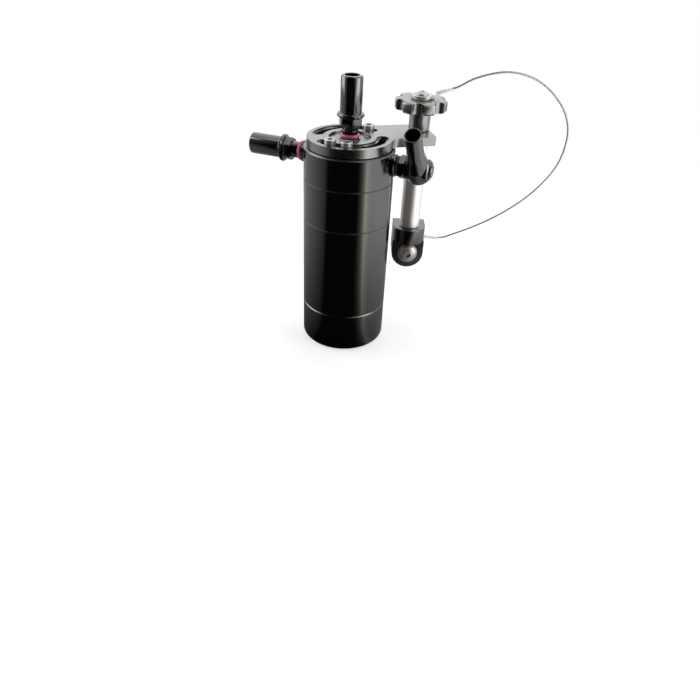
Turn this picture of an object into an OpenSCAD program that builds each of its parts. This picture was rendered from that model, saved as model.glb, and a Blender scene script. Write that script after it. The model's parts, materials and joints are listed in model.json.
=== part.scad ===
// Oil catch can: a turned can with a central inlet, an outlet at each side, a flat
// bracket with a stand-off post, a clamp knob and a wire lanyard that keeps the knob.
// The origin is on the can's axis at its base, +Z points up, -X is the straight outlet.

/* [Can] */
// Outside diameter of the can
can_d = 68; // [64:0.5:76]
// Wall of the reservoir and of the upper body
can_wall = 4; // [3.5:0.25:5]
// Height of the bottom cap up to its shoulder
cap_h = 33; // [28:0.5:40]
// Thickness of the bottom cap's floor
floor_t = 6; // [5:0.25:10]
// Radius of the rounded edge at the base
base_round = 4.5; // [2:0.25:5]
// Height of the reservoir tube
reservoir_h = 73; // [60:0.5:120]
// Height of the upper body
upper_h = 31.6; // [28:0.2:40]
// Length of the bottom cap's spigot inside the reservoir
cap_spigot_l = 10; // [9:0.5:12]
// Length of the spigots of the head and the upper body
spigot_l = 8; // [7:0.25:8]
// Wall of the spigots
spigot_wall = 3.5; // [3:0.1:4]
// Chamfer of the bright groove above the bottom cap
groove_chamfer = 0.9; // [0.4:0.05:1.2]
// Chamfer at the two thin seams
seam_chamfer = 0.3; // [0.1:0.05:0.4]

/* [Head] */
// Height of the head up to its rim
head_h = 23.4; // [22.5:0.1:28]
// Chamfer of the head's rim
rim_chamfer = 0.9; // [0.4:0.05:1.2]
// Depth of the side ports' axis below the rim
port_drop = 9.1; // [8.6:0.1:10]
// Solid metal between the gallery and the rim
head_roof = 10; // [9:0.25:12]
// Height of the land that carries the bracket, above the rim
land_h = 0.6; // [0.3:0.1:1.5]
// Diameter of the land
land_d = 61; // [58:0.5:63]
// Diameter of the boss that centres the bracket
pilot_d = 31; // [29:0.25:32]
// Height of the raised seat of the inlet
seat_h = 0.8; // [0.4:0.1:1.2]
// Diameter of the seats of the three ports
seat_d = 16; // [15.5:0.1:17]
// How far the side seats stand out from the can's wall
seat_out = 3; // [2.5:0.1:5]
// Outside diameter of the column around the inlet bore
column_d = 20; // [17:0.5:24]
// Depth of the port threads behind their seats
port_depth = 20; // [16:0.5:21]

/* [Port fittings] */
// Diameter of the threaded stems
stem_d = 10; // [9:0.1:10.5]
// Length of the threaded stems
stem_l = 9; // [7:0.5:11]
// Diameter of the round neck
neck_d = 12; // [11.6:0.1:13]
// Length from the gland to the hexagon
neck_l = 5.8; // [4:0.1:8]
// Width across flats of the hexagons
hex_af = 15.3; // [14:0.1:16]
// Length of the hexagons of the straight fittings
hex_l = 5.9; // [4:0.1:8]
// Diameter of the bead
bead_d = 20; // [18:0.25:22]
// Width of the bead
bead_l = 3; // [2:0.1:4]
// Outside diameter of the hose spigots
tube_d = 15.8; // [14:0.1:17]
// Length of the hose spigots beyond the bead
tube_l = 25.2; // [20:0.2:32]
// Bore of the hose spigots
tube_bore = 10.8; // [10:0.1:12]
// Bore of the threaded stems
stem_bore = 6.8; // [5:0.1:7]
// Chamfer at the mouth of the hose spigots
mouth_chamfer = 0.8; // [0.4:0.1:1]
// Section of the port seals
seal_d = 3; // [2.6:0.1:3.2]

/* [Elbow] */
// Distance from the seat to the elbow's centre
elbow_out = 16.5; // [16:0.1:20]
// Length of the adapter's hexagon
adapter_hex_l = 4.3; // [3.5:0.1:5]
// Diameter of the adapter's journal
journal_d = 9; // [8.4:0.1:9.4]
// Bore of the journal
journal_bore = 5.6; // [4:0.1:5.8]
// Diameter of the elbow's body around the leg
elbow_body_d = 17.4; // [16.8:0.1:18.4]
// Diameter of the elbow's hub around the journal
elbow_hub_d = 16; // [14:0.1:16.6]
// Half the length of the hub along the journal
hub_half = 8.8; // [8.6:0.1:9.2]
// Diameter of the leg
leg_d = 12; // [11.6:0.1:13]
// Wall of the leg
leg_wall = 0.9; // [0.7:0.05:1.2]
// Length of the leg from the journal's axis
leg_l = 40; // [34:0.5:50]
// Lean of the leg from upright towards the front
leg_lean = 39; // [0:1:60]

/* [Bracket] */
// Thickness of the bracket plate
plate_t = 6.4; // [5.5:0.1:8]
// Outside diameter of the bracket's ring
ring_d = 63.4; // [62:0.1:65]
// Radius of the middle line of the curved slots
slot_r = 24; // [23.5:0.1:24.5]
// Width of the slots under the screw heads
recess_w = 8.8; // [8.7:0.05:9.2]
// Depth of the recess under the screw heads
recess_t = 1.5; // [1:0.1:3]
// Width of the slots at the screw shanks
slot_w = 5.5; // [5.3:0.05:6]
// Direction of the arm
arm_angle = 34; // [30:1:40]
// How far the arm's end lies beyond the can's wall
arm_out = 30; // [28:0.5:40]
// Distance from the arm's front edge to the can's axis
arm_front = 9.5; // [8:0.25:12]
// Distance from the arm's back edge to the can's axis
arm_back = 24.7; // [20:0.1:27]
// Radius of the arm's end corners
arm_corner = 2.5; // [1:0.25:5]
// Radius of the concave corners between ring and arm
arm_fillet = 8; // [5:0.5:9]

/* [Post and knob] */
// How far the post's axis lies beyond the can's wall, along the arm
post_out = 22.2; // [20:0.1:22.6]
// How far the post's axis lies off the arm's own axis
post_across = 10.5; // [8:0.25:12]
// Diameter of the post
post_d = 16; // [14:0.25:17]
// Length of the post between foot and arm
post_l = 71.6; // [50:0.2:90]
// Diameter of the knob's stud
stud_d = 8; // [6:0.5:8]
// How far the stud reaches into the post
stud_reach = 21.6; // [16:0.2:30]
// Diameter of the knob over its lobes
knob_d = 39; // [36:0.5:44]
// Number of lobes
lobes = 7; // [5:1:9]
// Radius of the scallops between the lobes
scallop_r = 4.8; // [4:0.1:5.5]
// Height of the knob's head
knob_h = 8; // [6:0.25:12]
// Diameter of the knob's hub
hub_d = 15.8; // [14:0.2:18]
// Height of the hub under the knob's head
hub_h = 15; // [10:0.5:20]

/* [Foot] */
// Turn of the foot and the lanyard about the post
foot_turn = 20; // [0:1:30]
// Width of the foot
foot_w = 26.4; // [24:0.2:30]
// Height of the foot's upper block
block_h = 13; // [12:0.5:16]
// Depth of the bolt's axis below the upper block
bolt_drop = 10; // [8:0.5:14]
// Distance from the post's axis to the foot's back face
foot_back = 13; // [11:0.25:15]
// Distance from the post's axis to the lug's front face
lug_front = 5; // [4:0.25:8]
// Diameter of the foot's bolt
bolt_d = 8; // [6:0.5:8]

/* [Lanyard] */
// Diameter of the wire rope
rope_d = 1.5; // [1:0.1:2]
// Diameter of the crimp barrels
barrel_d = 3.6; // [3:0.1:4]
// Length of the crimp barrels
barrel_l = 12.5; // [8:0.5:16]
// Thickness of the ring terminals
eye_t = 1.2; // [0.8:0.1:1.5]

/* [Hidden] */
$fn = 96;
// Clearances: turning fits, fixed fits and the play of a piece between two faces
run_gap = 0.05;
fix_gap = 0.02;
face_gap = 0.05;
cut = 1;

// Levels, from the base up
can_r = can_d / 2;
bore_r = can_r - can_wall;
spigot_r = bore_r - run_gap;
spigot_bore_r = spigot_r - spigot_wall;
reservoir_top = cap_h + reservoir_h;
upper_top = reservoir_top + upper_h;
rim_z = upper_top + head_h;
land_z = rim_z + land_h;
plate_top = land_z + plate_t;
pilot_z = plate_top - recess_t;
inlet_z = pilot_z + seat_h;
port_z = rim_z - port_drop;
port_s = can_r + seat_out;
gallery_z = rim_z - head_roof;

// Seal grooves of the spigots
ring_seal_d = 1.9;
ring_seal_r = spigot_r - ring_seal_d / 2;
ring_groove_w = 2.6;
ring_groove_r = ring_seal_r - ring_seal_d / 2 - fix_gap;
cap_groove_z = cap_h + 3;

// Filter stack, from the ledge of the upper body up
baffle_t = 1.5;
baffle_z = reservoir_top;
filter_z = baffle_z + baffle_t;
clip_t = 1.2;
clip_z = upper_top - spigot_l - clip_t - 2;
clip_groove = 1.2;
drop_tube_r = 6;
drop_tube_wall = 1;
drop_tube_top = upper_top + 1.5;
drop_tube_end = cap_h + cap_spigot_l + 15;

// Fittings, measured from their seats
gland_l = seal_d;
gland_r = neck_d / 2 - 1.8;
hex_z = gland_l + neck_l;
bead_z = hex_z + hex_l;
tube_z = bead_z + bead_l;
fitting_l = tube_z + tube_l;
valve_plate_t = 1.6;
valve_z = bead_z + 4.5;

// Elbow and adapter, measured from the right seat
elbow_x = port_s + elbow_out;
adapter_hex_z = gland_l;
journal_z = adapter_hex_z + adapter_hex_l;
hub_gap = 0.1;
hub_far = elbow_out + hub_half;
clip_plate = 0.8;
clip_from = hub_far + hub_gap;
journal_end = clip_from + clip_plate + 1;
journal_groove_r = journal_d / 2 - 0.65;
leg_bore_r = leg_d / 2 - leg_wall;
leg_step_r = leg_bore_r - 0.8;
leg_step = 11;
body_top = 5;
body_bottom = elbow_hub_d / 2 + 0.4;
shoulder_from = body_top - 1;
shoulder_to = 16.6;
small_seal_d = 1.2;
small_seal_r = journal_d / 2 - small_seal_d / 2 + fix_gap;
seal_inset = 2.5;
seal_ends = [elbow_out - hub_half + seal_inset, elbow_out + hub_half - seal_inset];

// Bracket
arm_l = can_r + arm_out;
post_along = can_r + post_out;
// Arcs that run into each other smoothly cross by this much, so they join cleanly
arc_bite = 0.01;
// How far the ring's top lies below the arm's, so that the two join cleanly
ring_step = 0.02;
slot_ends = [[-122.5, 17.5], [67.5, 187.5]];
screw_angles = [-105, -75, 75, 105];
m5_r = 2.5;
m5_head_r = 4.25;
m5_head_h = 5;
m5_socket_af = 4;
m5_socket_t = 2.5;
m5_l = 12;

// Post, foot and knob
post_xy = [post_along * cos(arm_angle) - post_across * sin(arm_angle),
    post_along * sin(arm_angle) + post_across * cos(arm_angle)];
foot_z = land_z - post_l;
block_z = foot_z - block_h;
bolt_z = block_z - bolt_drop;
dowel_r = 5;
dowel_l = 11;
stud_clear = 0.3;
stud_grip = 8;
washer_t = 1.3;
washer_r = 8.2;
knob_z = plate_top + hub_h;
knob_top = knob_z + knob_h;
eye_z = knob_top + face_gap;
washer_z = eye_z + eye_t + face_gap;
button_z = washer_z + washer_t;
button_h = 2.7;
button_r = 4.75;
button_dome_r = 6.5;
button_socket_af = 3;
button_socket_t = 1.6;
button_l = 8.5;
knob_turn = -3.7;
eye_r = 6.2;
foot_eye_r = 7;
flange_r = bolt_d / 2 + 4.2;
dome_r = bolt_d / 2 + 3.2;
flange_t = 1.5;
dome_h = 3.6;
dome_drop = 5.8;
bolt_socket_af = 5;
bolt_socket_t = 2.6;
nut_t = 6.5;
nut_af = 13;
eye_y = foot_back + face_gap;
nut_y = eye_y + eye_t + face_gap;

// Lanyard: the frame is that of the foot, with x to the right, y to the back
top_slope = 16;
top_barrel = [10, 0, washer_z + 2.9];
foot_slope = -4;
foot_barrel = [foot_w / 2 + 1.5, eye_y + barrel_d / 2, bolt_z + 7];
top_exit = top_barrel + barrel_l * [cos(top_slope), 0, sin(top_slope)];
foot_exit = foot_barrel + barrel_l * [cos(foot_slope), 0, sin(foot_slope)];
route = [top_exit, [24.4, 0, 199.35], [28, 0, 201.1], [36, 0.5, 205.5],
    [46.5, 1, 209], [57, 1.5, 211], [65, 2, 211], [74, 3, 209.5], [84, 4, 206],
    [94, 4.5, 200], [102, 5, 193], [108.5, 6, 185.5], [113, 6.5, 177.5],
    [115.8, 7, 168.5], [116.5, 8, 159.5], [115.8, 9, 149.5], [112.8, 9.5, 139.5],
    [107, 10, 129], [99.5, 11, 118.5], [89.5, 12, 108], [77, 12.5, 98], [63, 13, 89],
    [49, 14, 81.3], [38, 14.5, 76.2], [32.5, 14.8, 73.6], [29.4, 14.85, 72.99],
    foot_exit];
rope_steps = 3;
rope_sides = 8;

// Ring on the Z axis between two radii
module tube(r, bore, h) {
    difference() {
        cylinder(r = r, h = h);
        translate([0, 0, -cut]) cylinder(r = bore, h = h + 2 * cut);
    }
}

// Torus of a given middle radius and section, centred on the origin
module seal_ring(r, d) {
    rotate_extrude() translate([r, 0]) circle(d = d, $fn = 32);
}

// Solid of revolution with its outer corners cut at 45 degrees
module turned(r, h, low = 0, high = 0) {
    rotate_extrude() polygon([[0, 0], [r - low, 0], [r, low], [r, h - high],
        [r - high, h], [0, h]]);
}

// Hexagonal prism with turned corners
module hexagon(af, h, chamfer = 0.6) {
    intersection() {
        cylinder(r = af / 2 / cos(30), h = h, $fn = 6);
        turned(af / 2 / cos(30) - 0.25, h, chamfer, chamfer);
    }
}

// Places its children at the post, turned with the foot
module at_post(z = 0) {
    translate([post_xy[0], post_xy[1], z]) rotate([0, 0, foot_turn]) children();
}

module at_outlet() {
    translate([-port_s, 0, port_z]) rotate([0, -90, 0]) children();
}

module at_adapter() {
    translate([port_s, 0, port_z]) rotate([0, 90, 0]) children();
}

module at_leg() {
    translate([elbow_x, 0, port_z]) rotate([leg_lean, 0, 0]) children();
}

module cap_blank() {
    rotate_extrude() difference() {
        union() {
            square([can_r - base_round, cap_h]);
            translate([0, base_round]) square([can_r, cap_h - base_round]);
            translate([can_r - base_round, base_round]) circle(base_round);
        }
        polygon([[can_r + cut, cap_h - groove_chamfer - cut],
            [can_r + cut, cap_h + cut], [can_r - groove_chamfer - cut, cap_h + cut]]);
    }
}

module bottom_cap() {
    color("#16171a") difference() {
        union() {
            cap_blank();
            translate([0, 0, cap_h - cut]) turned(spigot_r, cap_spigot_l + cut, 0, 0.6);
        }
        translate([0, 0, floor_t]) cylinder(r = spigot_bore_r, h = cap_h + cap_spigot_l);
        translate([0, 0, cap_groove_z]) tube(bore_r, ring_groove_r, ring_groove_w);
    }
}

module cap_seal() {
    color("#1c1c1e") translate([0, 0, cap_groove_z + ring_groove_w / 2])
        seal_ring(ring_seal_r, ring_seal_d);
}

module reservoir() {
    color("#16171a") translate([0, 0, cap_h]) difference() {
        turned(can_r, reservoir_h, groove_chamfer, seam_chamfer);
        translate([0, 0, -cut]) cylinder(r = bore_r, h = reservoir_h + 2 * cut);
    }
}

module spigot_seal(z) {
    color("#1c1c1e") translate([0, 0, z - spigot_l / 2]) seal_ring(ring_seal_r, ring_seal_d);
}

// Hollow spigot that hangs below a seam, with its seal groove
module hanging_spigot(z) {
    translate([0, 0, z - spigot_l]) difference() {
        turned(spigot_r, spigot_l + cut, 0.6, 0);
        translate([0, 0, -cut]) cylinder(r = spigot_bore_r, h = spigot_l + 3 * cut);
        translate([0, 0, (spigot_l - ring_groove_w) / 2])
            tube(bore_r, ring_groove_r, ring_groove_w);
    }
}

module middle_seal() {
    spigot_seal(reservoir_top);
}

module head_seal() {
    spigot_seal(upper_top);
}

module upper_body() {
    color("#16171a") {
        difference() {
            union() {
                translate([0, 0, reservoir_top])
                    turned(can_r, upper_h, seam_chamfer, seam_chamfer);
                hanging_spigot(reservoir_top);
            }
            translate([0, 0, reservoir_top - cut])
                cylinder(r = spigot_bore_r, h = upper_h + 2 * cut);
            translate([0, 0, reservoir_top]) cylinder(r = bore_r, h = upper_h + cut);
            translate([0, 0, clip_z]) cylinder(r = bore_r + clip_groove, h = clip_t + 0.2);
        }
    }
}

module head_blank() {
    rotate_extrude() polygon([[0, upper_top], [can_r - seam_chamfer, upper_top],
        [can_r, upper_top + seam_chamfer], [can_r, rim_z - rim_chamfer],
        [can_r - rim_chamfer, rim_z], [land_d / 2, rim_z], [land_d / 2, land_z],
        [pilot_d / 2, land_z], [pilot_d / 2, pilot_z - 0.5], [pilot_d / 2 - 0.5, pilot_z],
        [seat_d / 2, pilot_z], [seat_d / 2, inlet_z - 0.3], [seat_d / 2 - 0.3, inlet_z],
        [0, inlet_z]]);
}

module head() {
    color("#16171a") difference() {
        union() {
            difference() {
                union() {
                    head_blank();
                    hanging_spigot(upper_top);
                }
                translate([0, 0, upper_top - cut])
                    cylinder(r = spigot_bore_r, h = gallery_z - upper_top + cut);
            }
            translate([0, 0, upper_top - spigot_l])
                cylinder(d = column_d, h = gallery_z - upper_top + spigot_l + cut);
            for (side = [-90, 90]) translate([0, 0, port_z]) rotate([0, side, 0])
                translate([0, 0, bore_r]) turned(seat_d / 2, port_s - bore_r, 0, 0.3);
        }
        translate([0, 0, inlet_z - port_depth]) cylinder(r = stem_d / 2 + fix_gap,
            h = port_depth + cut);
        translate([0, 0, upper_top - spigot_l - cut])
            cylinder(r = drop_tube_r - drop_tube_wall, h = inlet_z - upper_top);
        translate([0, 0, upper_top - spigot_l - cut])
            cylinder(r = drop_tube_r + fix_gap, h = drop_tube_top - upper_top + spigot_l + cut);
        for (side = [-90, 90]) translate([0, 0, port_z]) rotate([0, side, 0])
            translate([0, 0, port_s - port_depth]) cylinder(r = stem_d / 2 + fix_gap,
                h = port_depth + cut);
        for (a = screw_angles) rotate([0, 0, a]) translate([slot_r, 0, land_z - 8])
            cylinder(r = m5_r + fix_gap, h = 8 + cut);
    }
}

module baffle_plate() {
    color("#b9bcc0") translate([0, 0, baffle_z]) difference() {
        cylinder(r = bore_r - run_gap, h = baffle_t);
        translate([0, 0, -cut]) cylinder(r = drop_tube_r + run_gap, h = baffle_t + 2 * cut);
        for (ring = [1:3]) for (i = [0:6 * ring + 5])
            rotate([0, 0, 360 * i / (6 * ring + 6)]) translate([6 + 5.2 * ring, 0, -cut])
                cylinder(d = 3, h = baffle_t + 2 * cut, $fn = 16);
    }
}

module mesh_filter() {
    color("#9da1a6") translate([0, 0, filter_z])
        tube(bore_r - 0.3, drop_tube_r + 0.1, clip_z - filter_z);
}

module filter_clip() {
    color("#c9cccf") translate([0, 0, clip_z + 0.05]) difference() {
        tube(bore_r + clip_groove - 0.1, bore_r - 2.6, clip_t);
        linear_extrude(3 * clip_t, center = true)
            polygon([[0, 0], [2 * can_r, -9], [2 * can_r, 9]]);
    }
}

module inlet_tube() {
    color("#b9bcc0") difference() {
        translate([0, 0, drop_tube_end])
            turned(drop_tube_r, drop_tube_top - drop_tube_end, 0.8, 0);
        translate([0, 0, drop_tube_end + drop_tube_wall])
            cylinder(r = drop_tube_r - drop_tube_wall, h = drop_tube_top);
        for (level = [5, 11]) for (a = [0:60:359])
            translate([0, 0, drop_tube_end + level]) rotate([90, 0, a + 30 * level / 6])
                cylinder(d = 3, h = 2 * drop_tube_r, $fn = 24);
    }
}

// Straight hose spigot, from its threaded stem to its mouth
module straight_fitting() {
    difference() {
        union() {
            translate([0, 0, -stem_l]) turned(stem_d / 2, stem_l, 0.6, 0);
            translate([0, 0, -cut]) cylinder(r = gland_r, h = gland_l + 2 * cut);
            translate([0, 0, gland_l]) turned(neck_d / 2, neck_l + cut, 0.3, 0);
            translate([0, 0, hex_z]) hexagon(hex_af, hex_l);
            translate([0, 0, bead_z]) turned(bead_d / 2, bead_l, 0.9, 0.9);
            translate([0, 0, tube_z - cut])
                turned(tube_d / 2, tube_l + cut, 0, mouth_chamfer);
        }
        translate([0, 0, -stem_l - cut]) cylinder(d = stem_bore, h = fitting_l + stem_l);
        translate([0, 0, valve_z]) cylinder(d = tube_bore, h = fitting_l);
    }
}

module port_seal(tint) {
    color(tint) translate([0, 0, seal_d / 2])
        seal_ring(gland_r + seal_d / 2 + fix_gap, seal_d - 2 * fix_gap);
}

// Perforated seat of a check valve
module valve_seat(r) {
    color("#d8d4c8") difference() {
        cylinder(r = r - fix_gap, h = valve_plate_t);
        translate([0, 0, -cut]) cylinder(r = 1, h = valve_plate_t + 2 * cut);
        for (a = [0:60:359]) rotate([0, 0, a]) translate([2.7, 0, -cut])
            cylinder(r = 0.8, h = valve_plate_t + 2 * cut, $fn = 16);
    }
}

// Rubber umbrella valve, with its stem through the seat and a bulb behind
module umbrella(r) {
    color("#a03a2c") rotate_extrude() polygon([[0, -1.4], [0.7, -1.4], [1.4, -0.6],
        [1.4, -fix_gap], [1 - fix_gap, -fix_gap], [1 - fix_gap, valve_plate_t + fix_gap],
        [r - 0.9, valve_plate_t + fix_gap], [r - 0.9, valve_plate_t + 0.5],
        [1.6, valve_plate_t + 1.5], [0, valve_plate_t + 1.5]]);
}

module inlet_spigot() {
    color("#17181b") translate([0, 0, inlet_z]) straight_fitting();
}

module inlet_seal() {
    translate([0, 0, inlet_z]) port_seal("#c2416b");
}

module outlet_spigot() {
    color("#17181b") at_outlet() straight_fitting();
}

module outlet_seal() {
    at_outlet() port_seal("#c2416b");
}

module outlet_valve_seat() {
    at_outlet() translate([0, 0, valve_z]) valve_seat(tube_bore / 2);
}

module outlet_valve() {
    at_outlet() translate([0, 0, valve_z]) umbrella(tube_bore / 2);
}

module elbow_adapter() {
    color("#17181b") at_adapter() difference() {
        union() {
            translate([0, 0, -stem_l]) turned(stem_d / 2, stem_l, 0.6, 0);
            translate([0, 0, -cut]) cylinder(r = gland_r, h = gland_l + 2 * cut);
            translate([0, 0, adapter_hex_z]) hexagon(hex_af, adapter_hex_l);
            translate([0, 0, gland_l]) turned(journal_d / 2, journal_end - gland_l, 0, 0.5);
        }
        translate([0, 0, -stem_l - cut]) cylinder(d = journal_bore,
            h = stem_l + cut + elbow_out + 4);
        translate([0, 0, elbow_out - 3]) tube(journal_d, journal_d / 2 - 0.6, 6);
        for (a = [0, 90]) translate([0, 0, elbow_out]) rotate([90, 0, a])
            cylinder(d = 4.4, h = 2 * journal_d, center = true);
        for (s = seal_ends) translate([0, 0, s - 0.8])
            tube(journal_d, small_seal_r - small_seal_d / 2 - fix_gap, 1.6);
        translate([0, 0, clip_from - 0.05])
            tube(journal_d, journal_groove_r, clip_plate + 0.1);
    }
}

module adapter_seal() {
    at_adapter() port_seal("#1c1c1e");
}

module elbow_seals() {
    color("#1c1c1e") at_adapter() for (s = seal_ends) translate([0, 0, s])
        seal_ring(small_seal_r, small_seal_d);
}

module elbow() {
    color("#17181b") difference() {
        union() {
            at_leg() translate([0, 0, -body_bottom])
                turned(elbow_body_d / 2, body_bottom + body_top, 1.2, 0.8);
            at_leg() translate([0, 0, shoulder_from])
                cylinder(r1 = elbow_body_d / 2 - 0.1, r2 = leg_d / 2,
                    h = shoulder_to - shoulder_from);
            at_adapter() translate([0, 0, journal_z + hub_gap])
                turned(elbow_hub_d / 2, hub_far - journal_z - hub_gap, 0.5, 1);
            at_leg() turned(leg_d / 2, leg_l, 0, 0.3);
        }
        at_adapter() cylinder(r = journal_d / 2 + run_gap, h = journal_end + cut);
        at_leg() translate([0, 0, -4.6]) cylinder(r = leg_step_r, h = leg_l + 5);
        at_leg() translate([0, 0, leg_step]) cylinder(r = leg_bore_r, h = leg_l);
    }
}

module elbow_clip() {
    color("#c9cccf") at_adapter() translate([0, 0, clip_from]) difference() {
        tube(journal_d / 2 + 1.7, journal_groove_r + fix_gap, clip_plate);
        linear_extrude(3 * clip_plate, center = true)
            polygon([[0, 0], [journal_d, -3], [journal_d, 3]]);
    }
}

module elbow_valve_seat() {
    at_leg() translate([0, 0, leg_step]) valve_seat(leg_bore_r);
}

module elbow_valve() {
    at_leg() translate([0, 0, leg_step]) umbrella(leg_bore_r);
}

// Points along an arc, from one angle to another
function arc(centre, r, from, to, steps) = [for (i = [0:steps])
    let (a = from + (to - from) * i / steps) centre + r * [cos(a), sin(a)]];

// Back edge of an arm: out of the ring by a fillet, along, and round its end's corner
function arm_edge(edge) = let (
        fillet = [sqrt(pow(ring_d / 2 + arm_fillet, 2) - pow(edge + arm_fillet, 2)),
            edge + arm_fillet],
        lean = atan2(fillet[1], fillet[0]))
    concat(
        [(ring_d / 2 - plate_t / 2) * [cos(lean), sin(lean)]],
        arc(fillet, arm_fillet + arc_bite, lean + 180, 270, 9),
        arc([arm_l - arm_corner, edge - arm_corner], arm_corner, 90, 0, 6));

module arm_outline() {
    front = arm_edge(arm_front);
    polygon(concat(arm_edge(arm_back),
        [for (i = [len(front) - 1:-1:0]) [front[i][0], -front[i][1]]]));
}

// Curved slot of one width, from one end's centre to the other's
module curved_slot(ends, w) {
    span = ends[1] - ends[0];
    intersection() {
        difference() {
            circle(slot_r + w / 2 - arc_bite);
            circle(slot_r - w / 2 + arc_bite);
        }
        polygon(concat([[0, 0]], [for (i = [0:6]) 1.5 * ring_d
            * [cos(ends[0] + span * i / 6), sin(ends[0] + span * i / 6)]]));
    }
    for (a = ends) rotate(a) translate([slot_r, 0]) circle(d = w);
}

// The ring is turned and slotted, and the arm runs out of it
module bracket() {
    color("#1d1e21") translate([0, 0, land_z]) difference() {
        union() {
            cylinder(d = ring_d, h = plate_t - ring_step);
            rotate([0, 0, arm_angle]) linear_extrude(plate_t) arm_outline();
        }
        translate([0, 0, -cut]) cylinder(r = pilot_d / 2 + run_gap, h = plate_t + 2 * cut);
        translate([0, 0, -cut]) linear_extrude(plate_t + 2 * cut)
            for (ends = slot_ends) curved_slot(ends, slot_w);
        translate([0, 0, plate_t - recess_t]) linear_extrude(recess_t + cut)
            for (ends = slot_ends) curved_slot(ends, recess_w);
        translate([post_xy[0], post_xy[1], -cut])
            cylinder(r = stud_d / 2 + stud_clear, h = plate_t + 2 * cut);
    }
}

// Socket-head cap screw with its head's underside at z = 0
module cap_screw() {
    difference() {
        union() {
            turned(m5_head_r, m5_head_h, 0, 0.4);
            translate([0, 0, -m5_l]) turned(m5_r, m5_l + cut, 0.5, 0);
        }
        translate([0, 0, m5_head_h - m5_socket_t])
            cylinder(r = m5_socket_af / 2 / cos(30), h = m5_socket_t + cut, $fn = 6);
    }
}

module bracket_screws() {
    color("#c9cccf") for (a = screw_angles) rotate([0, 0, a])
        translate([slot_r, 0, pilot_z]) cap_screw();
}

module post() {
    color("#d4d5d6") translate([post_xy[0], post_xy[1], 0]) difference() {
        union() {
            translate([0, 0, foot_z]) turned(post_d / 2, post_l, 0.5, 0.5);
            translate([0, 0, foot_z - dowel_l]) turned(dowel_r, dowel_l + cut, 0.5, 0);
        }
        translate([0, 0, land_z - stud_reach - 2])
            cylinder(r = stud_d / 2 + run_gap, h = stud_reach + 2 + cut);
    }
}

module foot() {
    color("#17181b") at_post() difference() {
        union() {
            translate([0, 0, block_z]) turned(foot_w / 2, block_h, 0.8, 0.5);
            translate([-foot_w / 2, 0, block_z]) cube([foot_w, foot_back, block_h]);
            translate([-foot_w / 2, -lug_front, bolt_z])
                cube([foot_w, lug_front + foot_back, bolt_drop + cut]);
            translate([0, -lug_front, bolt_z]) rotate([-90, 0, 0])
                cylinder(d = foot_w, h = lug_front + foot_back);
        }
        translate([0, 0, foot_z - dowel_l - cut]) cylinder(r = dowel_r + fix_gap,
            h = dowel_l + 2 * cut);
        translate([0, -lug_front - cut, bolt_z]) rotate([-90, 0, 0])
            cylinder(r = bolt_d / 2 + 0.1, h = lug_front + foot_back + 2 * cut);
    }
}

module foot_bolt() {
    color("#c9cccf") at_post(bolt_z) translate([0, -lug_front, 0]) rotate([90, 0, 0])
        difference() {
            union() {
                turned(flange_r, flange_t, 0.2, 0.3);
                rotate_extrude() intersection() {
                    translate([0, -dome_drop]) circle(r = flange_t + dome_h + dome_drop);
                    square([dome_r, flange_t + dome_h]);
                }
                mirror([0, 0, 1]) turned(bolt_d / 2,
                    lug_front + nut_y + nut_t + 1, 0, 0.8);
            }
            translate([0, 0, flange_t + dome_h - bolt_socket_t])
                cylinder(r = bolt_socket_af / 2 / cos(30), h = bolt_socket_t + cut, $fn = 6);
        }
}

module foot_nut() {
    color("#c9cccf") at_post(bolt_z) translate([0, nut_y, 0]) rotate([-90, 0, 0])
        difference() {
            hexagon(nut_af, nut_t);
            translate([0, 0, -cut]) cylinder(r = bolt_d / 2 + fix_gap, h = nut_t + 2 * cut);
        }
}

module lanyard_foot_eye() {
    color("#cfd0cc") at_post() difference() {
        union() {
            translate([0, eye_y, bolt_z]) rotate([-90, 0, 0])
                cylinder(r = foot_eye_r, h = eye_t);
            hull() {
                translate([0, eye_y, bolt_z + 3.5]) cube([3, eye_t, 3]);
                translate(foot_barrel + [1, -barrel_d / 2, -1.5]) cube([1, eye_t, 3]);
            }
            translate(foot_barrel) rotate([0, 90 - foot_slope, 0])
                turned(barrel_d / 2, barrel_l, 0.4, 0);
        }
        translate([0, eye_y - cut, bolt_z]) rotate([-90, 0, 0])
            cylinder(r = bolt_d / 2 + 0.1, h = eye_t + 2 * cut);
    }
}

module lanyard_knob_eye() {
    color("#cfd0cc") at_post() difference() {
        union() {
            translate([0, 0, eye_z]) cylinder(r = eye_r, h = eye_t);
            translate([0, -2, eye_z]) cube([washer_r + 1, 4, eye_t]);
            hull() {
                translate([washer_r + 0.5, -2, eye_z]) cube([0.5, 4, eye_t]);
                translate(top_barrel + [0.8, -1.7, -0.6]) cube([0.5, 3.4, eye_t]);
            }
            translate(top_barrel) rotate([0, 90 - top_slope, 0])
                turned(barrel_d / 2, barrel_l, 0.4, 0);
        }
        translate([0, 0, eye_z - cut]) cylinder(r = m5_r + run_gap, h = eye_t + 2 * cut);
    }
}

// Smooth curve through the route's points
function spline(a, b, c, d, t) = 0.5 * (2 * b + (c - a) * t
    + (2 * a - 5 * b + 4 * c - d) * t * t + (3 * b - a - 3 * c + d) * t * t * t);
route_last = len(route) - 1;
function route_point(i) = route[min(max(i, 0), route_last)];
rope_path = concat([for (i = [0:route_last - 1]) for (k = [0:rope_steps - 1])
    spline(route_point(i - 1), route_point(i), route_point(i + 1), route_point(i + 2),
        k / rope_steps)], [route[route_last]]);
function unit(v) = v / norm(v);
function heading(path, i) = unit(path[min(i + 1, len(path) - 1)] - path[max(i - 1, 0)]);

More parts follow.
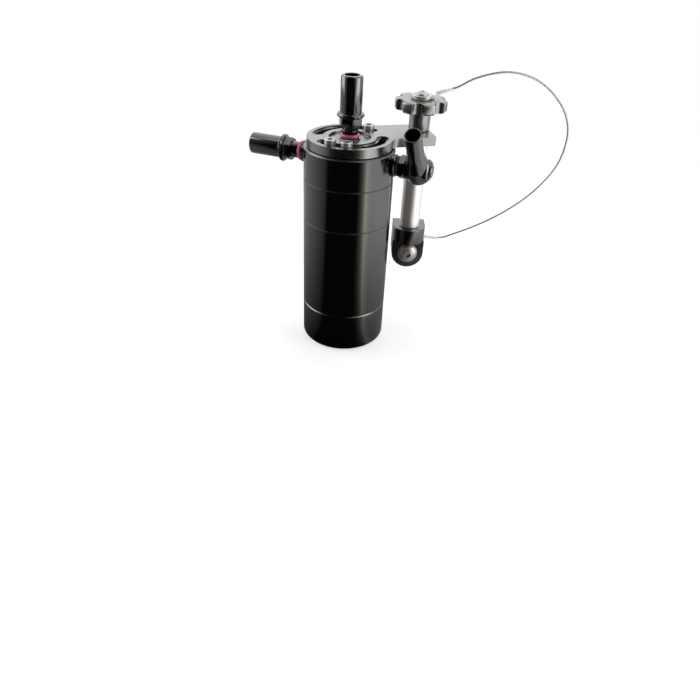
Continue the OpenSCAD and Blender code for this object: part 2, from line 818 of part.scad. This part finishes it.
// Round tube along a path that stays close to the XZ plane
module sweep(path, r, sides) {
    n = len(path);
    points = [for (i = [0:n - 1]) let (t = heading(path, i), u = unit(cross([0, 1, 0], t)),
        v = cross(t, u)) for (k = [0:sides - 1])
            path[i] + r * (cos(360 * k / sides) * u + sin(360 * k / sides) * v)];
    walls = [for (i = [0:n - 2]) for (k = [0:sides - 1]) let (next = (k + 1) % sides)
        [i * sides + k, i * sides + next, (i + 1) * sides + next, (i + 1) * sides + k]];
    first = [for (k = [sides - 1:-1:0]) k];
    last = [for (k = [0:sides - 1]) (n - 1) * sides + k];
    polyhedron(points, concat([first], walls, [last]), convexity = 6);
}

module lanyard() {
    color("#8d9094") at_post() sweep(rope_path, rope_d / 2, rope_sides);
}

module knob_outline() {
    difference() {
        circle(d = knob_d);
        for (i = [0:lobes - 1]) rotate((i + 0.5) * 360 / lobes)
            translate([knob_d / 2 + 0.8, 0]) circle(scallop_r);
    }
}

module knob() {
    color("#1b1c1e") translate([post_xy[0], post_xy[1], 0]) difference() {
        union() {
            translate([0, 0, plate_top]) turned(hub_d / 2, hub_h + cut, 0.5, 0);
            translate([0, 0, knob_z]) intersection() {
                rotate(knob_turn) linear_extrude(knob_h) knob_outline();
                turned(knob_d / 2, knob_h, 1.2, 1.2);
            }
        }
        translate([0, 0, plate_top - cut]) cylinder(r = stud_d / 2 + fix_gap,
            h = stud_grip + cut);
        translate([0, 0, knob_top - 9]) cylinder(r = m5_r + fix_gap, h = 9 + cut);
    }
}

module knob_stud() {
    color("#b9bcc0") translate([post_xy[0], post_xy[1], land_z - stud_reach])
        turned(stud_d / 2, stud_reach + plate_t + stud_grip, 0.8, 0.3);
}

module knob_washer() {
    color("#cfd0cc") translate([post_xy[0], post_xy[1], washer_z])
        tube(washer_r, m5_r + fix_gap, washer_t);
}

module knob_screw() {
    color("#cfd0cc") translate([post_xy[0], post_xy[1], button_z]) difference() {
        union() {
            rotate_extrude() intersection() {
                translate([0, button_h - button_dome_r]) circle(button_dome_r);
                square([button_r, button_h]);
            }
            translate([0, 0, knob_top - button_l - button_z])
                turned(m5_r, button_z - knob_top + button_l + 0.5, 0.4, 0);
        }
        translate([0, 0, button_h - button_socket_t])
            cylinder(r = button_socket_af / 2 / cos(30), h = button_socket_t + cut, $fn = 6);
    }
}

bottom_cap();
cap_seal();
reservoir();
middle_seal();
upper_body();
head_seal();
head();
baffle_plate();
mesh_filter();
filter_clip();
inlet_tube();
inlet_spigot();
inlet_seal();
outlet_spigot();
outlet_seal();
outlet_valve_seat();
outlet_valve();
elbow_adapter();
adapter_seal();
elbow_seals();
elbow();
elbow_clip();
elbow_valve_seat();
elbow_valve();
bracket();
bracket_screws();
post();
foot();
foot_bolt();
foot_nut();
lanyard_foot_eye();
lanyard();
lanyard_knob_eye();
knob();
knob_stud();
knob_washer();
knob_screw();
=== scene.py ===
"""Oil catch can: the dressed model, its finishes, the studio and the camera."""
import json
import math

import bmesh
import bpy
from mathutils import Matrix, Vector


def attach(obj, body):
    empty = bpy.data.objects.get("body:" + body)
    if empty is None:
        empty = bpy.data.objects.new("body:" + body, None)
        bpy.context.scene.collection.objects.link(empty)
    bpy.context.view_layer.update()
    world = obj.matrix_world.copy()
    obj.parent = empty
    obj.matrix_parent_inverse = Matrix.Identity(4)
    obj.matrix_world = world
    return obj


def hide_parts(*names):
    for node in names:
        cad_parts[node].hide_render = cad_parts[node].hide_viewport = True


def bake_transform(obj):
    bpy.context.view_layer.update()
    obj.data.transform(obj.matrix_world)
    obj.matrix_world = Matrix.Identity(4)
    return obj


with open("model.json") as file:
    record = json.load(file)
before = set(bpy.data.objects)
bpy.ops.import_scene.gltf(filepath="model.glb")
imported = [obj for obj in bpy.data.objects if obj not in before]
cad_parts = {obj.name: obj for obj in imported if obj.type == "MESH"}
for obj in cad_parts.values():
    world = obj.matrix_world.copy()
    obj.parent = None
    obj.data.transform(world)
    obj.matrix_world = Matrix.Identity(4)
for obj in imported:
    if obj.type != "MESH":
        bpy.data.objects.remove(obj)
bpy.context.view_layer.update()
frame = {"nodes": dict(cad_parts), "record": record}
scene = bpy.context.scene
scene.view_settings.view_transform = "Standard"

MM = 0.001
BODIES = frame["record"]["behaviour"]["bodies"]
CARRIER = {node: body for body, nodes in BODIES.items() for node in nodes}
SLOTS = {part["node"]: part["material_slot"] for part in frame["record"]["subparts"]}


# Camera: its angles, its focal length in picture pixels and its place in metres
PITCH = math.radians(35.27)
HEADING = math.radians(-19.19)
ROLL = math.radians(2.73)
FOCAL_PIXELS = 636.9
FRAME_PIXELS = 700
EYE = (0.1613, -0.44077, 0.30909)

ahead = Vector((math.sin(HEADING) * math.cos(PITCH), math.cos(HEADING) * math.cos(PITCH),
                -math.sin(PITCH)))
level = Vector((math.cos(HEADING), -math.sin(HEADING), 0))
upright = level.cross(ahead)
across = math.cos(ROLL) * level + math.sin(ROLL) * upright
above = -math.sin(ROLL) * level + math.cos(ROLL) * upright
lens = bpy.data.cameras.new("photo_view")
lens.sensor_width = 36
lens.lens = FOCAL_PIXELS / FRAME_PIXELS * lens.sensor_width
lens.clip_start = 0.01
lens.clip_end = 20
camera = bpy.data.objects.new("photo_view", lens)
turn = Matrix((across, above, -ahead)).transposed().to_4x4()
camera.matrix_world = Matrix.Translation(EYE) @ turn
scene.collection.objects.link(camera)
scene.camera = camera


# Shader maths and finishes
class Value:
    """A shader socket whose sums and products add Math nodes."""

    def __init__(self, finish, socket):
        self.finish = finish
        self.socket = socket

    def sum(self, operation, *terms):
        return self.finish.node("ShaderNodeMath", {"operation": operation},
                                dict(enumerate(terms)))

    def __add__(self, other):
        return self.sum("ADD", self, other)

    __radd__ = __add__

    def __sub__(self, other):
        return self.sum("SUBTRACT", self, other)

    def __rsub__(self, other):
        return self.sum("SUBTRACT", other, self)

    def __mul__(self, other):
        return self.sum("MULTIPLY", self, other)

    def __truediv__(self, other):
        return self.sum("DIVIDE", self, other)

    def __abs__(self):
        return self.sum("ABSOLUTE", self)

    def band(self, low, high):
        """1 between two values, 0 outside."""
        return self.sum("GREATER_THAN", self, low) * self.sum("LESS_THAN", self, high)


class Finish:
    """One node material: constants go on the shader, what varies is linked."""

    def __init__(self, name, tree=None, **constants):
        if tree is None:
            self.material = bpy.data.materials.new(name)
            self.material.use_nodes = True
            tree = self.material.node_tree
        self.tree = tree
        self.shader = tree.nodes.get("Principled BSDF")
        for key, value in constants.items():
            self.shader.inputs[key.replace("_", " ")].default_value = value

    def node(self, kind, settings=None, inputs=None, out=0):
        made = self.tree.nodes.new(kind)
        for key, value in (settings or {}).items():
            if key == "stops":
                ramp = made.color_ramp.elements
                for i, (place, colour) in enumerate(value):
                    stop = ramp[i] if i < 2 else ramp.new(place)
                    stop.position = place
                    stop.color = colour
            else:
                setattr(made, key, value)
        for key, value in (inputs or {}).items():
            if isinstance(value, Value):
                self.tree.links.new(value.socket, made.inputs[key])
            else:
                made.inputs[key].default_value = value
        return Value(self, made.outputs[out])

    def feed(self, **inputs):
        for key, value in inputs.items():
            self.tree.links.new(value.socket, self.shader.inputs[key.replace("_", " ")])
        return self

    def place(self):
        return self.node("ShaderNodeTexCoord", out="Object")

    def ray(self, kind):
        return self.node("ShaderNodeLightPath", out=f"Is {kind} Ray")

    def stretched(self, scale):
        return self.node("ShaderNodeMapping",
                         inputs={"Vector": self.place(), "Scale": scale})

    def noise(self, scale, detail=3.0, where=None):
        return self.node("ShaderNodeTexNoise", inputs={
            "Vector": where or self.place(), "Scale": scale, "Detail": detail,
            "Roughness": NOISE_ROUGHNESS})

    def blend(self, factor, first, second):
        return self.node("ShaderNodeMix", {"data_type": "RGBA"},
                         {0: factor, 6: first, 7: second}, out=2)

    def bump(self, height, strength, distance):
        return self.node("ShaderNodeBump", inputs={
            "Height": height, "Strength": strength, "Distance": distance})


# Patterns: cells per metre, and the depth of tool marks in metres
NOISE_ROUGHNESS = 0.55
SMEAR_SCALE = 38
GRAIN_SCALE = 900
TURNING_LINES = (60, 60, 5200)
BRUSHING_LINES = (60, 60, 2400)
ROPE_MARKS = (2600, 2600, 2600)
KNIT_MARKS = (1500, 1500, 1500)
TOOL_MARKS = (400, 400, 400)
TOOL_MARK_DEPTH = 0.00002
MOULD_MARK_DEPTH = 0.00003


def grey(level, warm=0.0):
    return (level * (1 + warm), level, level * (1 - warm), 1)


def anodised(name, shade, rough, index=1.5, spin=0.0, relief=0.015, cuts=(), seams=()):
    """Black anodised aluminium: handling marks, turning lines and cut chamfers."""
    finish = Finish(name, Metallic=0.0, Specular_IOR_Level=1.0, IOR=index)
    smear = finish.noise(SMEAR_SCALE, 4)
    grain = finish.noise(GRAIN_SCALE, 2)
    turned = finish.noise(1, 2, finish.stretched(TURNING_LINES))
    tone = finish.blend(smear, grey(shade * 0.75), grey(shade * 1.35, 0.03))
    gloss = rough * 0.8 + smear * rough * 0.25 + grain * rough * 0.15
    if cuts:
        height = finish.node("ShaderNodeSeparateXYZ", inputs={0: finish.place()}, out=2)
        cut = sum(height.band(*levels) for levels in cuts)
        tone = finish.blend(cut, tone, grey(0.1, 0.02))
        gloss = gloss + cut * 0.14 + sum(height.band(*levels) for levels in seams) * 0.5
        finish.feed(Metallic=cut)
    finish.feed(Base_Color=tone, Roughness=gloss,
                Normal=finish.bump(turned * 0.8 + grain * 0.2, relief, TOOL_MARK_DEPTH))
    if spin:
        finish.shader.inputs["Anisotropic"].default_value = spin
        finish.shader.inputs["Anisotropic Rotation"].default_value = 0.25
    return finish.material


def bright_metal(name, tone, rough, marks=TOOL_MARKS, depth=0.15, tint=0.01, metal=1.0):
    """Bare metal with fine tool marks."""
    finish = Finish(name, Metallic=metal)
    brushed = finish.noise(1, 3, finish.stretched(marks))
    cloud = finish.noise(60, 3)
    shade = finish.blend(cloud, grey(tone * 0.86, tint), grey(tone, tint))
    finish.feed(Base_Color=shade, Roughness=rough * 0.75 + brushed * rough * 0.5,
                Normal=finish.bump(brushed, depth, TOOL_MARK_DEPTH))
    return finish.material


def elastic(name, colour, rough, fleck=0.25):
    """Moulded rubber or plastic with a soft bloom."""
    finish = Finish(name, Specular_IOR_Level=0.4)
    cloud = finish.noise(120, 4)
    grain = finish.noise(1600, 2)
    dark = tuple(part * (1 - fleck) for part in colour) + (1,)
    light = tuple(min(1, part * (1 + fleck)) for part in colour) + (1,)
    finish.feed(Base_Color=finish.blend(cloud, dark, light),
                Roughness=rough * 0.8 + cloud * rough * 0.4,
                Normal=finish.bump(grain, 0.25, MOULD_MARK_DEPTH))
    return finish.material


# Heights on the can, in metres: its bright cuts and its thin seams
CUTS = ((0.0321, 0.0339), (0.16, 0.16105))
SEAMS = ((0.1055, 0.1065), (0.1371, 0.1381))

FINISHES = {
    "black_anodised": anodised("black_anodised", 0.001, 0.16, spin=0.7, relief=0.04,
                               cuts=CUTS, seams=SEAMS),
    "black_fitting": anodised("black_fitting", 0.002, 0.11, index=1.55),
    "bracket_black": anodised("bracket_black", 0.003, 0.27, index=2.0),
    # A darker, less reflective copy of the bracket's black for the foot: painted shade
    "foot_shaded_black": anodised("foot_shaded_black", 0.002, 0.24, index=1.52),
    "knob_black": anodised("knob_black", 0.003, 0.3, index=2.05),
    "polished_aluminium": bright_metal("polished_aluminium", 0.78, 0.46, BRUSHING_LINES,
                                       depth=0.05, metal=0.92, tint=0.02),
    "bright_steel": bright_metal("bright_steel", 0.42, 0.4, depth=0.04, tint=0.04,
                                 metal=0.85),
    "tinned_crimp": bright_metal("tinned_crimp", 0.85, 0.5, tint=0.04, metal=0.35,
                                 depth=0.05),
    "wire_rope": bright_metal("wire_rope", 0.36, 0.42, ROPE_MARKS),
    "red_seal": elastic("red_seal", (0.38, 0.06, 0.12), 0.36),
    "black_seal": elastic("black_seal", (0.018, 0.018, 0.018), 0.45),
    "valve_rubber": elastic("valve_rubber", (0.45, 0.08, 0.05), 0.5),
    "valve_plastic": elastic("valve_plastic", (0.7, 0.66, 0.58), 0.4, 0.06),
    "inner_steel": bright_metal("inner_steel", 0.6, 0.35),
    "knitted_mesh": bright_metal("knitted_mesh", 0.62, 0.45, KNIT_MARKS, 0.8),
}
for name, node in frame["nodes"].items():
    node.data.materials.clear()
    node.data.materials.append(FINISHES[SLOTS[name]])


# Pieces
# The foot takes the painted-shade copy of the bracket's black
OWN_FINISH = {"foot_skin": "foot_shaded_black"}
WELD = 2e-6
FLAT = math.radians(0.4)
CREASE = math.radians(32)
EDGE_SEGMENTS = 3


def piece(name, mesh, body, slot, *stands_for):
    """Put a finished mesh in the scene on its body, in place of CAD nodes."""
    made = bpy.data.objects.new(name, mesh)
    scene.collection.objects.link(made)
    mesh.materials.clear()
    mesh.materials.append(FINISHES[OWN_FINISH.get(name, slot)])
    if body:
        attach(made, body)
    if stands_for:
        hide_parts(*stands_for)
    return made


def skin(node, edge, shaped=None):
    """A welded copy of a CAD node, smooth where it is turned, with its edges broken."""
    shell = bmesh.new()
    shell.from_mesh(frame["nodes"][node].data)
    bmesh.ops.remove_doubles(shell, verts=shell.verts, dist=WELD)
    bmesh.ops.dissolve_limit(shell, angle_limit=FLAT, verts=shell.verts, edges=shell.edges)
    if shaped:
        shaped(shell)
    mesh = bpy.data.meshes.new(node + "_skin")
    shell.to_mesh(mesh)
    shell.free()
    mesh.shade_smooth()
    mesh.set_sharp_from_angle(angle=CREASE)
    made = piece(mesh.name, mesh, CARRIER[node], SLOTS[node], node)
    if edge:
        bevel = made.modifiers.new("edges", "BEVEL")
        bevel.width = edge * MM
        bevel.segments = EDGE_SEGMENTS
        bevel.limit_method = "ANGLE"
        bevel.angle_limit = CREASE
        bevel.harden_normals = True
        bevel.use_clamp_overlap = True
    return made


BROKEN_EDGES = {
    "bottom_cap": 0.25, "reservoir": 0.12, "upper_body": 0.12, "head": 0.2,
    "inlet_spigot": 0.2, "outlet_spigot": 0.2, "elbow_adapter": 0.2, "elbow": 0.3,
    "bracket": 0.35, "bracket_screws": 0.15, "post": 0.2, "foot": 0.5, "foot_bolt": 0.15,
    "foot_nut": 0.2, "lanyard_foot_eye": 0.2, "lanyard_knob_eye": 0.2, "knob": 0.6,
    "knob_washer": 0.15, "knob_screw": 0.2, "elbow_clip": 0.1, "inlet_seal": 0.0,
    "outlet_seal": 0.0, "adapter_seal": 0.0,
}


# Lanyard: the route's points lie in the foot's own directions, in millimetres
POST = Vector((40.720, 40.132, 0))
FOOT_TURN = math.radians(20)
ROUTE = [
    (22.016, 0, 198.65), (24.4, 0, 199.35), (28, 0, 201.1), (36, 0.5, 205.5),
    (46.5, 1, 209), (57, 1.5, 211), (65, 2, 211), (74, 3, 209.5), (84, 4, 206),
    (94, 4.5, 200), (102, 5, 193), (108.5, 6, 185.5), (113, 6.5, 177.5),
    (115.8, 7, 168.5), (116.5, 8, 159.5), (115.8, 9, 149.5), (112.8, 9.5, 139.5),
    (107, 10, 129), (99.5, 11, 118.5), (89.5, 12, 108), (77, 12.5, 98), (63, 13, 89),
    (49, 14, 81.3), (38, 14.5, 76.2), (32.5, 14.8, 73.6), (29.4, 14.85, 72.99),
    (27.170, 14.85, 73.128),
]
BARREL_L = 12.5
BARREL_R = 1.8
SLOPES = {"lanyard_knob_eye": 16, "lanyard_foot_eye": -4}
MOUTHS = {"lanyard_knob_eye": ROUTE[0], "lanyard_foot_eye": ROUTE[-1]}
PRESSES = (3.4, 8.4)
PRESS_L = 3.2
PRESS_SLOPE = 0.5
PRESS_DEPTH = 0.28
ROPE_D = 1.5
ROPE_STEPS = 3
ROPE_RINGS = 560
STRANDS = 6
LAY = 9.0
LOBE_DEPTH = 0.24
SECTION_POINTS = 30


def through(points, steps):
    """Catmull-Rom samples through the points, their ends doubled."""
    padded = [points[0], *points, points[-1]]
    line = []
    for before, start, end, after in zip(padded, padded[1:], padded[2:], padded[3:]):
        for i in range(steps):
            t = i / steps
            line.append(0.5 * (2 * start + (end - before) * t
                               + (2 * before - 5 * start + 4 * end - after) * t ** 2
                               + (3 * start - before - 3 * end + after) * t ** 3))
    return line + [points[-1]]


def in_metres(point):
    return (POST + Matrix.Rotation(FOOT_TURN, 3, "Z") @ Vector(point)) * MM


def crimped(node):
    """Press two flats across an eye's barrel, as a crimping tool leaves them."""
    slope = math.radians(SLOPES[node])
    outwards = Matrix.Rotation(FOOT_TURN, 3, "Z") @ Vector((math.cos(slope), 0, math.sin(slope)))
    mouth = in_metres(MOUTHS[node])
    across_barrel = outwards.cross(Vector((0, 0, 1))).normalized()
    squeezed = outwards.cross(across_barrel)

    def back(vert):
        return (mouth - vert.co).dot(outwards) / MM

    def off_axis(vert):
        return (vert.co - mouth) + outwards * back(vert) * MM

    def on_barrel(vert):
        return (-0.1 < back(vert) < BARREL_L + 0.1
                and off_axis(vert).length < (BARREL_R + 0.05) * MM)

    def press(shell):
        for middle in PRESSES:
            for reach in (PRESS_L / 2 + PRESS_SLOPE, PRESS_L / 2):
                for side in (-reach, reach):
                    faces = [face for face in shell.faces if all(map(on_barrel, face.verts))]
                    edges = {edge for face in faces for edge in face.edges}
                    bmesh.ops.bisect_plane(
                        shell, geom=[*faces, *edges], dist=1e-7,
                        plane_co=mouth - outwards * (middle + side) * MM, plane_no=outwards)
            for vert in filter(on_barrel, shell.verts):
                if abs(back(vert) - middle) > PRESS_L / 2 + 0.01:
                    continue
                height = off_axis(vert).dot(squeezed)
                limit = (BARREL_R - PRESS_DEPTH) * MM
                vert.co -= squeezed * (height - max(-limit, min(limit, height)))
    return press


skins = {node: skin(node, edge, shaped=crimped(node) if node in SLOPES else None)
         for node, edge in BROKEN_EDGES.items()}
rope_path = through([in_metres(point) for point in ROUTE], ROPE_STEPS)
rope_length = sum((b - a).length for a, b in zip(rope_path, rope_path[1:]))


def node_group(name, *sockets):
    """A Geometry Nodes tree with named inputs, geometry in and out."""
    tree = bpy.data.node_groups.new(name, "GeometryNodeTree")
    tree.interface.new_socket("Geometry", in_out="INPUT", socket_type="NodeSocketGeometry")
    for label, kind, value in sockets:
        made = tree.interface.new_socket(label, in_out="INPUT", socket_type=kind)
        if value is not None:
            made.default_value = value
    tree.interface.new_socket("Geometry", in_out="OUTPUT",
                              socket_type="NodeSocketGeometry")
    return tree


def stranded_rope():
    """Outer strands as a lobed section that twists along the route."""
    tree = node_group("stranded_rope", ("Diameter", "NodeSocketFloat", ROPE_D * MM),
                      ("Strands", "NodeSocketFloat", STRANDS),
                      ("Turns", "NodeSocketFloat", None),
                      ("Rings", "NodeSocketInt", ROPE_RINGS),
                      ("Material", "NodeSocketMaterial", None))
    build = Finish("", tree=tree)
    given = tree.nodes.new("NodeGroupInput")

    def source(label):
        return Value(build, given.outputs[label])

    line = build.node("GeometryNodeResampleCurve",
                      inputs={"Curve": source("Geometry"), "Count": source("Rings")})
    along = build.node("GeometryNodeSplineParameter")
    tilt = along * source("Turns") * (2 * math.pi)
    line = build.node("GeometryNodeSetCurveTilt", inputs={"Curve": line, "Tilt": tilt})
    ring = build.node("GeometryNodeCurvePrimitiveCircle",
                      inputs={"Resolution": SECTION_POINTS, "Radius": 1.0})
    spot = build.node("GeometryNodeInputPosition")
    split = tree.nodes.new("ShaderNodeSeparateXYZ")
    tree.links.new(spot.socket, split.inputs[0])
    turn_angle = Value(build, split.outputs[1]).sum(
        "ARCTAN2", Value(build, split.outputs[1]), Value(build, split.outputs[0]))
    lobe = abs(turn_angle.sum("COSINE", turn_angle * source("Strands") * 0.5))
    reach = (lobe * LOBE_DEPTH + (1 - LOBE_DEPTH)) * source("Diameter") * 0.5
    moved = build.node("ShaderNodeVectorMath", {"operation": "SCALE"},
                       {0: spot, "Scale": reach})
    ring = build.node("GeometryNodeSetPosition", inputs={"Geometry": ring, "Position": moved})
    tube = build.node("GeometryNodeCurveToMesh",
                      inputs={"Curve": line, "Profile Curve": ring, "Fill Caps": True})
    tube = build.node("GeometryNodeRealizeInstances", inputs={0: tube})
    tube = build.node("GeometryNodeSetMaterial",
                      inputs={"Geometry": tube, "Material": source("Material")})
    result = tree.nodes.new("NodeGroupOutput")
    tree.links.new(tube.socket, result.inputs["Geometry"])
    return tree


def grown(curve, tree, **inputs):
    """Run a Geometry Nodes tree on an object and give back its plain mesh."""
    modifier = curve.modifiers.new("grow", "NODES")
    modifier.node_group = tree
    for item in tree.interface.items_tree:
        if item.in_out == "INPUT" and item.name in inputs:
            modifier[item.identifier] = inputs[item.name]
    seen = curve.evaluated_get(bpy.context.evaluated_depsgraph_get())
    mesh = bpy.data.meshes.new_from_object(seen)
    bpy.data.objects.remove(curve)
    return mesh


line = bpy.data.curves.new("rope_line", "CURVE")
line.dimensions = "3D"
spline = line.splines.new("POLY")
spline.points.add(len(rope_path) - 1)
for point, spot in zip(spline.points, rope_path):
    point.co = (*spot, 1)
carrier = bpy.data.objects.new("rope_line", line)
scene.collection.objects.link(carrier)
rope_mesh = grown(carrier, stranded_rope(), Material=FINISHES["wire_rope"],
                  Turns=rope_length / (LAY * MM))
rope_mesh.shade_smooth()
rope = piece("wire_rope", rope_mesh, None, "wire_rope", "lanyard")
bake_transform(rope)


# Studio
MIDDLE = (0, 0, 0.1)


def lamp(name, size, power, place):
    light = bpy.data.lights.new(name, "AREA")
    light.shape = "RECTANGLE"
    light.size, light.size_y = size
    light.energy = power
    made = bpy.data.objects.new(name, light)
    made.location = place
    made.rotation_euler = (Vector(MIDDLE) - Vector(place)).to_track_quat("-Z", "Y").to_euler()
    scene.collection.objects.link(made)
    return made


def round_the_can(bearing, distance, height):
    """A place seen from the can at a bearing to the right of the camera."""
    angle = HEADING - math.radians(bearing)
    return (-math.sin(angle) * distance, -math.cos(angle) * distance, height)


lamp("left_box", (0.9, 1.2), 12, round_the_can(-100, 1.1, 0.55))
lamp("right_box", (0.6, 1.2), 9, round_the_can(70, 1.1, 0.5))
overhead = lamp("top_box", (1.2, 0.9), 14, (0.1, 0.5, 1.3))
overhead.visible_glossy = False

# What gloss sees round the can, by bearing from the camera: in the world, white walls at both
# sides and behind and a dark room round the camera; on the paper, a painted reflection that
# glows only for gloss, painted dark in front, with a painted warm highlight strip on its right
ROOM = [
    (-180, 1.7), (-140, 1.5), (-100, 0.8), (-62, 0.15), (-50, 0.0), (20, 0.0),
    (34, 0.4), (46, 1.4), (78, 1.4), (112, 1.2), (140, 1.6), (180, 1.7),
]
# Painted reflection on the paper, seen only by gloss: painted shade in front of the can and a
# painted warm highlight strip near 46 degrees
PAPER_PAINTED_REFLECTION = [
    (-180, 0.6), (-140, 0.5), (-105, 0.48), (-80, 0.4), (-69, 0.3), (-58, 0.2),
    (-50, 0.0), (25, 0.0), (33, 0.2), (40, 0.8), (46, 2.5), (52, 1.8), (60, 1.4),
    (84, 1.3), (100, 1.1), (124, 0.7), (154, 0.5), (180, 0.6),
]
# Warm tints by bearing: on the world's light, and on the painted warm highlight strip in the
# paper's painted reflection
WARM = {46: (1.0, 0.94, 0.78), 52: (1.0, 0.97, 0.88)}
BRIGHTEST = 2.5
AMBIENT = 0.55

# The paper: its levels near the can and far away, and the distances between them; for gloss, the
# dim level near the can is a painted shadow of the can in the paper's painted reflection
PAPER_PAINTED_GLOSS_SHADOW = (0.2, 1.25, 0.04, 0.3)
PAPER_WHITE = (0.6, 1, 0.15, 0.7)


def surround(finish, direction, levels):
    """The brightness along a direction from the can's axis."""
    def along(axis):
        return finish.node("ShaderNodeVectorMath", {"operation": "DOT_PRODUCT"},
                           {0: direction, 1: tuple(axis)}, out=1)

    right = along((math.cos(HEADING), -math.sin(HEADING), 0))
    near = along((-math.sin(HEADING), -math.cos(HEADING), 0))
    bearing = right.sum("ARCTAN2", right, near) / (2 * math.pi) + 0.5
    stops = [(place / 360 + 0.5, tuple(level / BRIGHTEST * part
                                       for part in WARM.get(place, (1, 1, 1))) + (1,))
             for place, level in levels]
    return finish.node("ShaderNodeValToRGB", {"stops": stops}, {0: bearing})


world = bpy.data.worlds.new("studio")
scene.world = world
world.use_nodes = True
sky = Finish("", tree=world.node_tree)
background = world.node_tree.nodes["Background"]
seen_direct = sky.ray("Camera")
seen_gloss = sky.ray("Glossy")
way = sky.node("ShaderNodeTexCoord", out="Generated")
tone = sky.blend(seen_gloss, (1, 1, 1, 1), surround(sky, way, ROOM))
world.node_tree.links.new(tone.socket, background.inputs["Color"])
level_now = (seen_direct + seen_gloss * BRIGHTEST
             + (1 - seen_direct) * (1 - seen_gloss) * AMBIENT)
world.node_tree.links.new(level_now.socket, background.inputs["Strength"])

floor_mesh = bpy.data.meshes.new("floor")
REACH = 4.0
floor_mesh.from_pydata([(-REACH, -REACH, 0), (REACH, -REACH, 0), (REACH, REACH, 0),
                        (-REACH, REACH, 0)], [], [(0, 1, 2, 3)])
floor = bpy.data.objects.new("floor", floor_mesh)
scene.collection.objects.link(floor)
paper = Finish("paper", Roughness=0.9, Specular_IOR_Level=0.0)
fibre = paper.noise(70, 3)
paper.feed(Base_Color=paper.blend(fibre, grey(0.88), grey(0.91)))


def mixed(factor, first, second):
    made = paper.tree.nodes.new("ShaderNodeMixShader")
    paper.tree.links.new(factor.socket, made.inputs[0])
    paper.tree.links.new(first, made.inputs[1])
    paper.tree.links.new(second, made.inputs[2])
    return made.outputs[0]


white = paper.tree.nodes.new("ShaderNodeEmission")
# A glow that only gloss sees: the paper's painted reflection
painted_reflection = paper.tree.nodes.new("ShaderNodeEmission")
reach = paper.node("ShaderNodeVectorMath", {"operation": "LENGTH"}, {0: paper.place()}, out=1)


def rising(low, high, start, end):
    """Goes from one level to the other between two distances from the can's axis."""
    share = (reach - start) / (end - start)
    share = share.sum("MAXIMUM", share.sum("MINIMUM", share, 1), 0)
    return share * (high - low) + low


# Its strength: a painted shadow near the can, brighter far away; its colour: the painted
# reflection by bearing
paper.tree.links.new((rising(*PAPER_PAINTED_GLOSS_SHADOW) * BRIGHTEST).socket,
                     painted_reflection.inputs["Strength"])
paper.tree.links.new(surround(paper, paper.place(), PAPER_PAINTED_REFLECTION).socket,
                     painted_reflection.inputs["Color"])
shown = mixed(paper.ray("Camera") * rising(*PAPER_WHITE), paper.shader.outputs[0],
              white.outputs[0])
shown = mixed(paper.ray("Glossy"), shown, painted_reflection.outputs[0])
paper.tree.links.new(shown, paper.tree.nodes["Material Output"].inputs["Surface"])
floor_mesh.materials.append(paper.material)
